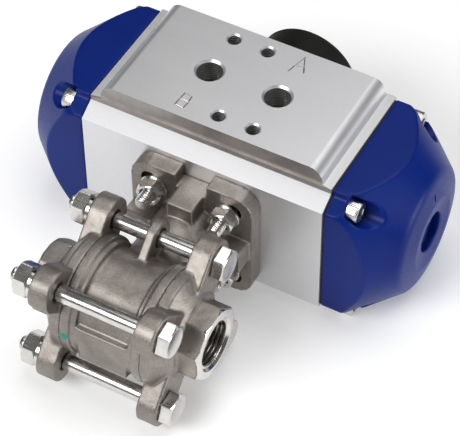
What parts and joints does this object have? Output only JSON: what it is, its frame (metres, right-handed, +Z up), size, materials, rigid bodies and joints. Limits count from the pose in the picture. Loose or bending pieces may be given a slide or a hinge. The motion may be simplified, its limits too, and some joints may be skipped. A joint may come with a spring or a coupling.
{
  "type": "pneumatic actuated ball valve",
  "caption": "Rack-and-pinion pneumatic quarter-turn actuator with domed blue end covers, bolted by its pad to a threaded three-piece stainless ball valve.",
  "frame": {"origin": "centre of the ball, where the pipe axis crosses the stem axis", "axes": "+X along the pipe and the actuator, +Y along the stem from the valve into the actuator, +Z up, normal to the air-port pad"},
  "size_m": [0.1346, 0.1411, 0.0596],
  "materials": {
    "housing_aluminium": "clear-anodised extrusion, satin, with machined end faces",
    "cover_blue": "satin blue powder coat on die-cast covers",
    "gasket_black": "flat black sheet gasket",
    "fastener_steel": "bright stainless steel",
    "piston_aluminium": "machined die-cast aluminium",
    "guide_plastic": "natural acetal",
    "seal_rubber": "nitrile rubber",
    "pinion_steel": "nickel-plated alloy steel",
    "indicator_plastic": "moulded black polyamide",
    "cast_stainless": "investment-cast stainless steel, bead-blasted, machined faces bright",
    "stem_stainless": "turned stainless steel",
    "ball_polished": "polished stainless steel",
    "ptfe_white": "white PTFE"
  },
  "bodies": {
    "root": {"actuator_housing": "housing_aluminium", "body_bolts": "fastener_steel", "body_gasket_left": "ptfe_white", "body_gasket_right": "ptfe_white", "body_nuts": "fastener_steel", "cover_gasket_left": "gasket_black", "cover_gasket_right": "gasket_black", "cover_screws": "fastener_steel", "end_cover_left": "cover_blue", "end_cover_right": "cover_blue", "packing_gland": "stem_stainless", "pad_nuts": "fastener_steel", "pad_studs": "fastener_steel", "pad_washers": "fastener_steel", "pinion_bush_lower": "guide_plastic", "pinion_bush_upper": "guide_plastic", "pinion_thrust_washer": "guide_plastic", "seat_left": "ptfe_white", "seat_right": "ptfe_white", "spring_washers": "fastener_steel", "stem_packing": "ptfe_white", "stem_thrust_washer": "ptfe_white", "valve_body": "cast_stainless", "valve_end_left": "cast_stainless", "valve_end_right": "cast_stainless"},
    "drive": {"pinion": "pinion_steel", "pinion_seal_lower": "seal_rubber", "pinion_seal_upper": "seal_rubber", "pinion_retaining_ring": "pinion_steel", "position_indicator": "indicator_plastic", "indicator_screw": "pinion_steel", "valve_stem": "stem_stainless", "disc_springs": "stem_stainless", "nut_lock_plate": "stem_stainless", "stem_nut": "stem_stainless", "ball": "ball_polished"},
    "piston_left": {"piston_left": "piston_aluminium", "piston_seal_left": "seal_rubber", "piston_guide_left": "guide_plastic"},
    "piston_right": {"piston_right": "piston_aluminium", "piston_seal_right": "seal_rubber", "piston_guide_right": "guide_plastic"}
  },
  "joints": [
    {"name": "piston_left_slide", "type": "slide", "parent": "root", "child": "piston_left", "axis": [1, 0, 0], "range_m": [0, 0.01414]},
    {"name": "piston_right_slide", "type": "slide", "parent": "root", "child": "piston_right", "axis": [-1, 0, 0], "range_m": [0, 0.01414]},
    {"name": "quarter_turn", "type": "hinge", "parent": "root", "child": "drive", "pos_m": [0, 0.071, 0], "axis": [0, 1, 0], "range_deg": [0, 90]}
  ],
  "couplings": [
    {"joint": "piston_right_slide", "follows": "piston_left_slide", "ratio": 1},
    {"joint": "quarter_turn", "follows": "piston_left_slide", "rad_per_m": 111.11}
  ]
}
